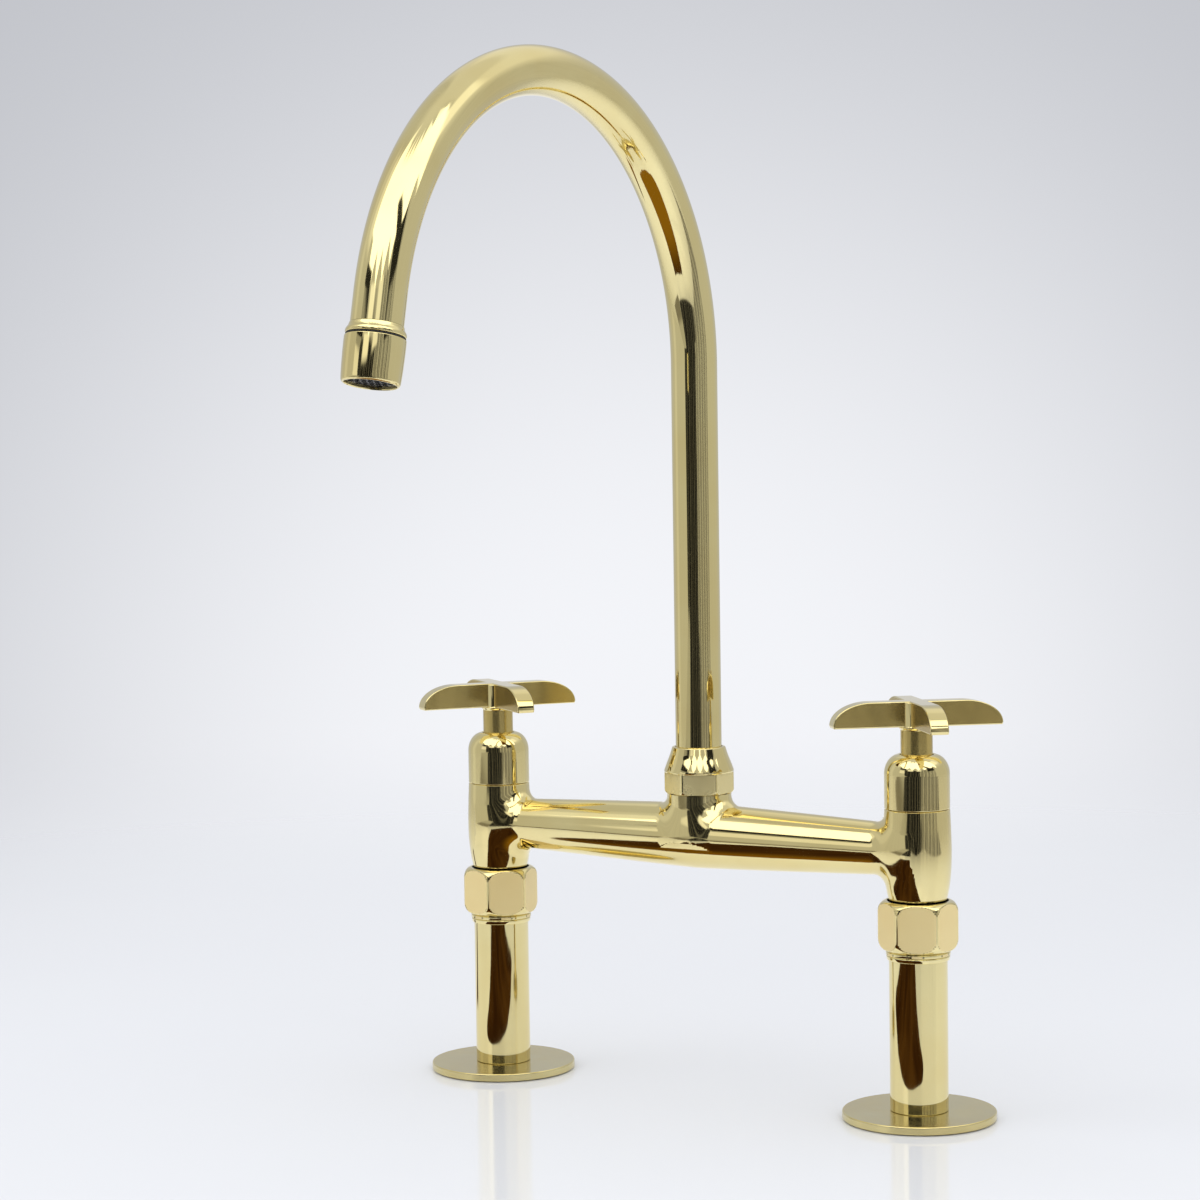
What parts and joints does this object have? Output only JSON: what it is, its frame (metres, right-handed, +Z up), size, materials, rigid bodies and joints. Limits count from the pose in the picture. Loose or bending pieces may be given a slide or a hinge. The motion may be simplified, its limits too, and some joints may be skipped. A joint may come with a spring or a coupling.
{
  "type": "bridge kitchen faucet",
  "caption": "Bridge kitchen faucet in polished brass: an arched swivel spout on a tapered bridge, with cross handles, union nuts, flanged legs and clamps that hold it to a worktop.",
  "frame": {"origin": "on the worktop's top plane, midway between the axes of the legs", "axes": "+Z up, +X along the bridge to the cold side (right when seen from the front), spout pointing along -Y at rest"},
  "size_m": [0.266, 0.2707, 0.4915],
  "materials": {
    "polished_brass": "hand-polished, unlacquered, with fine hairlines and faint ripples",
    "satin_brass": "finely brushed along the flats, edges polished",
    "turned_brass": "as turned, not polished",
    "zinced_steel": "bright zinc plated",
    "stainless_steel": "drawn wire and thin sheet, plain",
    "black_rubber": "matt moulded rubber",
    "white_ceramic": "lapped alumina, opaque",
    "white_nylon": "moulded nylon",
    "black_plastic": "moulded acetal",
    "red_fibre": "pressed vulcanised fibre"
  },
  "bodies": {
    "fixed": {"bridge_body": "polished_brass", "left_flange": "polished_brass", "left_deck_gasket": "black_rubber", "left_leg": "polished_brass", "left_shank": "turned_brass", "left_rubber_washer": "black_rubber", "left_steel_washer": "zinced_steel", "left_back_nut": "turned_brass", "left_union_nut": "satin_brass", "left_union_clip": "stainless_steel", "left_union_washer": "red_fibre", "left_seat_seal": "black_rubber", "left_fixed_disc": "white_ceramic", "left_cartridge_body": "turned_brass", "left_bonnet": "polished_brass", "right_flange": "polished_brass", "right_deck_gasket": "black_rubber", "right_leg": "polished_brass", "right_shank": "turned_brass", "right_rubber_washer": "black_rubber", "right_steel_washer": "zinced_steel", "right_back_nut": "turned_brass", "right_union_nut": "satin_brass", "right_union_clip": "stainless_steel", "right_union_washer": "red_fibre", "right_seat_seal": "black_rubber", "right_fixed_disc": "white_ceramic", "right_cartridge_body": "turned_brass", "right_bonnet": "polished_brass", "spout_nut": "polished_brass", "spout_thrust_ring": "white_nylon"},
    "spout": {"spout_tube": "polished_brass", "spout_spigot": "turned_brass", "spout_o_ring_lower": "black_rubber", "spout_o_ring_upper": "black_rubber", "spout_slip_ring": "white_nylon", "spout_outlet_adaptor": "polished_brass", "aerator_washer": "black_rubber", "aerator_shell": "polished_brass", "aerator_screen": "stainless_steel", "aerator_insert": "black_plastic"},
    "left_control": {"left_handle": "polished_brass", "left_set_screw": "zinced_steel", "left_cartridge_stem": "turned_brass", "left_moving_disc": "white_ceramic", "left_stem_o_ring": "black_rubber", "left_stem_clip": "stainless_steel"},
    "right_control": {"right_handle": "polished_brass", "right_set_screw": "zinced_steel", "right_cartridge_stem": "turned_brass", "right_moving_disc": "white_ceramic", "right_stem_o_ring": "black_rubber", "right_stem_clip": "stainless_steel"}
  },
  "joints": [
    {"name": "spout_swivel", "type": "hinge", "parent": "fixed", "child": "spout", "pos_m": [0, 0, 0.139], "axis": [0, 0, 1], "continuous": true},
    {"name": "left_handle_turn", "type": "hinge", "parent": "fixed", "child": "left_control", "pos_m": [-0.1016, 0, 0.13], "axis": [0, 0, 1], "range_deg": [0, 90]},
    {"name": "right_handle_turn", "type": "hinge", "parent": "fixed", "child": "right_control", "pos_m": [0.1016, 0, 0.13], "axis": [0, 0, 1], "range_deg": [-90, 0]}
  ]
}
